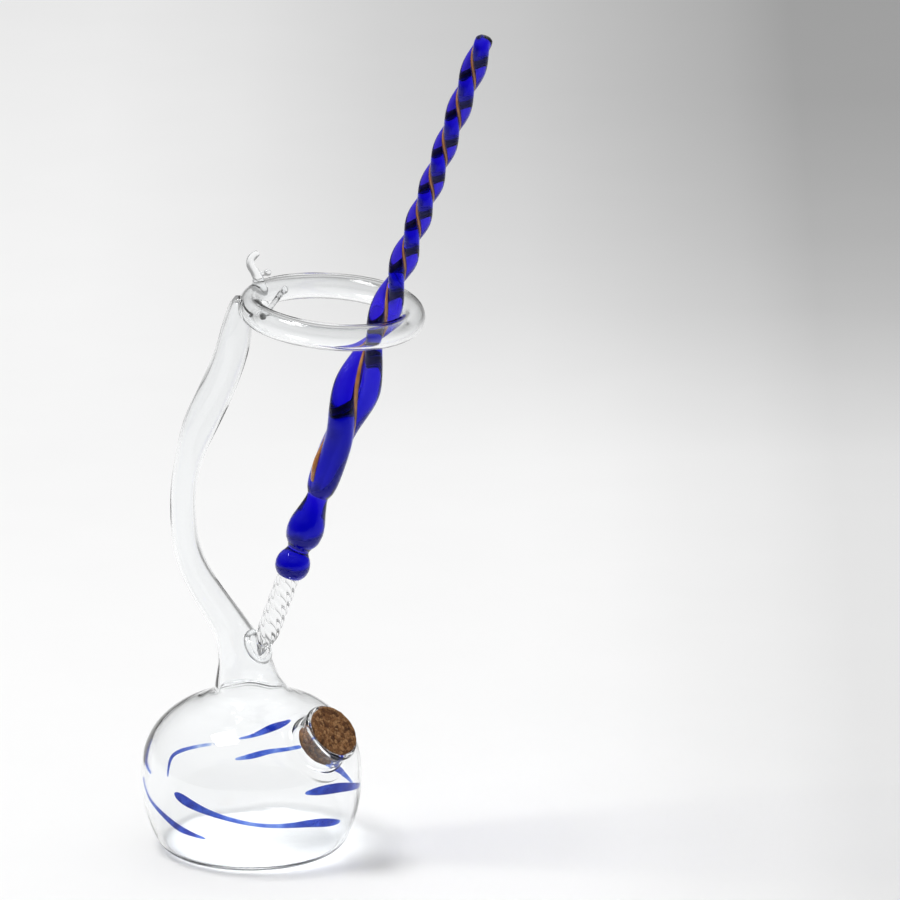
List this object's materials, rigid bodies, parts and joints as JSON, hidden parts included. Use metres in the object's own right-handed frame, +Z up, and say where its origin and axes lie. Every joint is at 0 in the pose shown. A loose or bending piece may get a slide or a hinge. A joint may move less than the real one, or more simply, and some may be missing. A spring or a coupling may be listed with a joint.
{
  "type": "glass dip pen with ink pot",
  "caption": "Twisted glass dip pen with a fluted nib, standing in a blown-glass ink pot with a swan neck, a holding ring, a nib rest and a corked side spout.",
  "frame": {"origin": "centre of the pot's flat base", "axes": "+Z up, +X towards the side the pen leans to, -Y towards the spout's side; the pot's swan neck bows to -X"},
  "size_m": [0.0931, 0.0584, 0.2227],
  "materials": {
    "clear_glass": "clear blown glass, fire polished",
    "blue_inlay": "blue glass melted flush into the wall",
    "cobalt_glass": "solid cobalt glass, fire polished",
    "amber_glass": "amber glass thread melted into the valleys",
    "cork": "pressed cork granules, sanded"
  },
  "bodies": {
    "ink_pot": {"globe": "clear_glass", "swan_neck": "clear_glass", "ring_knot": "clear_glass", "holder_ring": "clear_glass", "ring_brace": "clear_glass", "ring_tail": "clear_glass", "pen_rest": "clear_glass", "spout": "clear_glass", "streak_front": "blue_inlay", "streak_left": "blue_inlay", "streak_back": "blue_inlay", "streak_shoulder": "blue_inlay", "streak_middle": "blue_inlay", "streak_spout": "blue_inlay", "streak_right": "blue_inlay", "streak_edge": "blue_inlay"},
    "pen": {"nib": "clear_glass", "collar_ball": "cobalt_glass", "grip_bead": "cobalt_glass", "barrel": "cobalt_glass", "amber_stringer_a": "amber_glass", "amber_stringer_b": "amber_glass"},
    "cork": {"cork_stopper": "cork"}
  },
  "joints": [
    {"name": "pen_lift", "type": "slide", "parent": "ink_pot", "child": "pen", "axis": [0.1736, 0, 0.9848], "range_m": [0, 0.115]},
    {"name": "cork_pull", "type": "slide", "parent": "ink_pot", "child": "cork", "axis": [0.5963, -0.4493, 0.6652], "range_m": [0, 0.015]}
  ]
}
